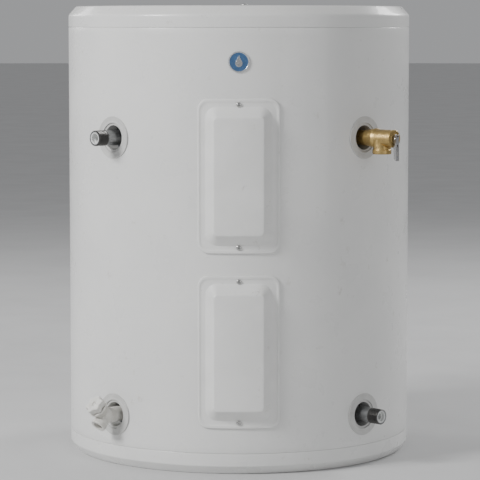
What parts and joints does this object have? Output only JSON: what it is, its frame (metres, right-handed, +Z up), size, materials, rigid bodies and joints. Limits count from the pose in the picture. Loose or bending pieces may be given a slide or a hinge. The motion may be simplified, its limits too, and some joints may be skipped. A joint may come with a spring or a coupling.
{
  "type": "tank water heater",
  "caption": "Low, wide electric storage water heater with side pipe connections, relief valve, drain valve and lift-off access covers.",
  "frame": {"origin": "centre of the base, at floor level", "axes": "+Z up along the tank, -Y towards the front with the access covers, +X to the right seen from the front"},
  "size_m": [0.616, 0.6348, 0.8046],
  "materials": {
    "white_enamel": "satin",
    "trim_plastic": "satin",
    "cover_white": "satin",
    "badge_metal": "satin",
    "tank_steel": "matte",
    "foam": "matte",
    "zinc_pipe": "satin",
    "liner_plastic": "satin",
    "anode_magnesium": "matte",
    "plug_steel": "satin",
    "galvanised_steel": "matte",
    "screw_steel": "gloss",
    "ground_green": "gloss",
    "wire_insulation": "satin",
    "element_sheath": "matte",
    "terminal_block": "satin",
    "gasket_rubber": "matte",
    "terminal_brass": "satin",
    "dial_plastic": "satin",
    "button_red": "gloss",
    "pad_fibre": "matte",
    "valve_brass": "satin",
    "stem_steel": "gloss",
    "lever_steel": "satin",
    "drain_plastic": "satin",
    "knob_plastic": "satin"
  },
  "bodies": {
    "cabinet": {"base_pan": "white_enamel", "jacket": "white_enamel", "top_cap": "white_enamel", "badge": "badge_metal", "port_trim_rings": "trim_plastic", "tank_shell": "tank_steel", "tank_top_head": "tank_steel", "tank_bottom_head": "tank_steel", "foam_insulation": "foam", "weld_spuds": "tank_steel", "bay_liners": "trim_plastic", "hot_outlet_nipple": "zinc_pipe", "cold_inlet_nipple": "zinc_pipe", "nipple_liners": "liner_plastic", "hot_pickup_tube": "liner_plastic", "cold_diffuser_tube": "liner_plastic", "anode_rod": "anode_magnesium", "anode_head": "plug_steel", "anode_cover_plug": "trim_plastic", "junction_box": "galvanised_steel", "ground_screw": "ground_green", "wire_harness": "wire_insulation", "upper_element_plug": "plug_steel", "upper_element_rod": "element_sheath", "upper_element_terminals": "terminal_block", "lower_element_plug": "plug_steel", "lower_element_rod": "element_sheath", "lower_element_terminals": "terminal_block", "element_gaskets": "gasket_rubber", "thermostat_brackets": "plug_steel", "upper_thermostat": "terminal_block", "lower_thermostat": "terminal_block", "thermostat_screws": "terminal_brass", "terminal_shields": "trim_plastic", "relief_valve_body": "valve_brass", "relief_bonnet": "valve_brass", "relief_probe": "valve_brass", "drain_valve_body": "drain_plastic", "drain_bonnet": "drain_plastic"},
    "relief_stem_set": {"relief_stem": "stem_steel", "relief_disc": "gasket_rubber", "relief_spring": "stem_steel", "relief_lever_pin": "stem_steel"},
    "relief_lever_body": {"relief_lever": "lever_steel"},
    "drain_washer_body": {"drain_seat_washer": "gasket_rubber"},
    "drain_knob_set": {"drain_stem": "drain_plastic", "drain_stem_oring": "gasket_rubber", "drain_knob": "knob_plastic"},
    "upper_dial_body": {"upper_dial": "dial_plastic"},
    "lower_dial_body": {"lower_dial": "dial_plastic"},
    "reset_button_body": {"reset_button": "button_red"},
    "upper_cover_set": {"upper_cover": "cover_white", "upper_cover_screws": "screw_steel", "upper_insulation_pad": "pad_fibre"},
    "lower_cover_set": {"lower_cover": "cover_white", "lower_cover_screws": "screw_steel", "lower_insulation_pad": "pad_fibre"},
    "junction_cover_set": {"junction_cover": "white_enamel", "junction_cover_screws": "screw_steel"}
  },
  "joints": [
    {"name": "relief_stem_lift", "type": "slide", "parent": "cabinet", "child": "relief_stem_set", "axis": [0.7071, -0.7071, 0], "range_m": [0, 0.0048]},
    {"name": "relief_lever_turn", "type": "hinge", "parent": "relief_stem_set", "child": "relief_lever_body", "pos_m": [0.26814, -0.26814, 0.5737], "axis": [-0.7071, -0.7071, 0], "range_deg": [0, 85], "stiffness_Nm_per_rad": 0.02},
    {"name": "drain_washer_lift", "type": "slide", "parent": "cabinet", "child": "drain_washer_body", "axis": [-0.5255, -0.5255, 0.6691], "range_m": [0, 0.004]},
    {"name": "drain_knob_turn", "type": "hinge", "parent": "drain_washer_body", "child": "drain_knob_set", "pos_m": [-0.2484, -0.2484, 0.11037], "axis": [-0.5255, -0.5255, 0.6691], "range_deg": [0, 720]},
    {"name": "upper_dial_turn", "type": "hinge", "parent": "cabinet", "child": "upper_dial_body", "pos_m": [0, -0.291, 0.5043], "axis": [0, -1, 0], "range_deg": [-120, 120]},
    {"name": "lower_dial_turn", "type": "hinge", "parent": "cabinet", "child": "lower_dial_body", "pos_m": [0, -0.291, 0.2039], "axis": [0, -1, 0], "range_deg": [-120, 120]},
    {"name": "reset_button_press", "type": "slide", "parent": "cabinet", "child": "reset_button_body", "axis": [0, 1, 0], "range_m": [0, 0.0015], "stiffness_N_per_m": 300},
    {"name": "upper_cover_off", "type": "slide", "parent": "cabinet", "child": "upper_cover_set", "axis": [0, -1, 0], "range_m": [0, 0.15]},
    {"name": "lower_cover_off", "type": "slide", "parent": "cabinet", "child": "lower_cover_set", "axis": [0, -1, 0], "range_m": [0, 0.15]},
    {"name": "junction_cover_lift", "type": "slide", "parent": "cabinet", "child": "junction_cover_set", "axis": [0, 0, 1], "range_m": [0, 0.08]}
  ],
  "couplings": [
    {"joint": "relief_stem_lift", "follows": "relief_lever_turn", "m_per_rad": 0.0032355},
    {"joint": "drain_washer_lift", "follows": "drain_knob_turn", "m_per_rad": 0.0003183}
  ]
}
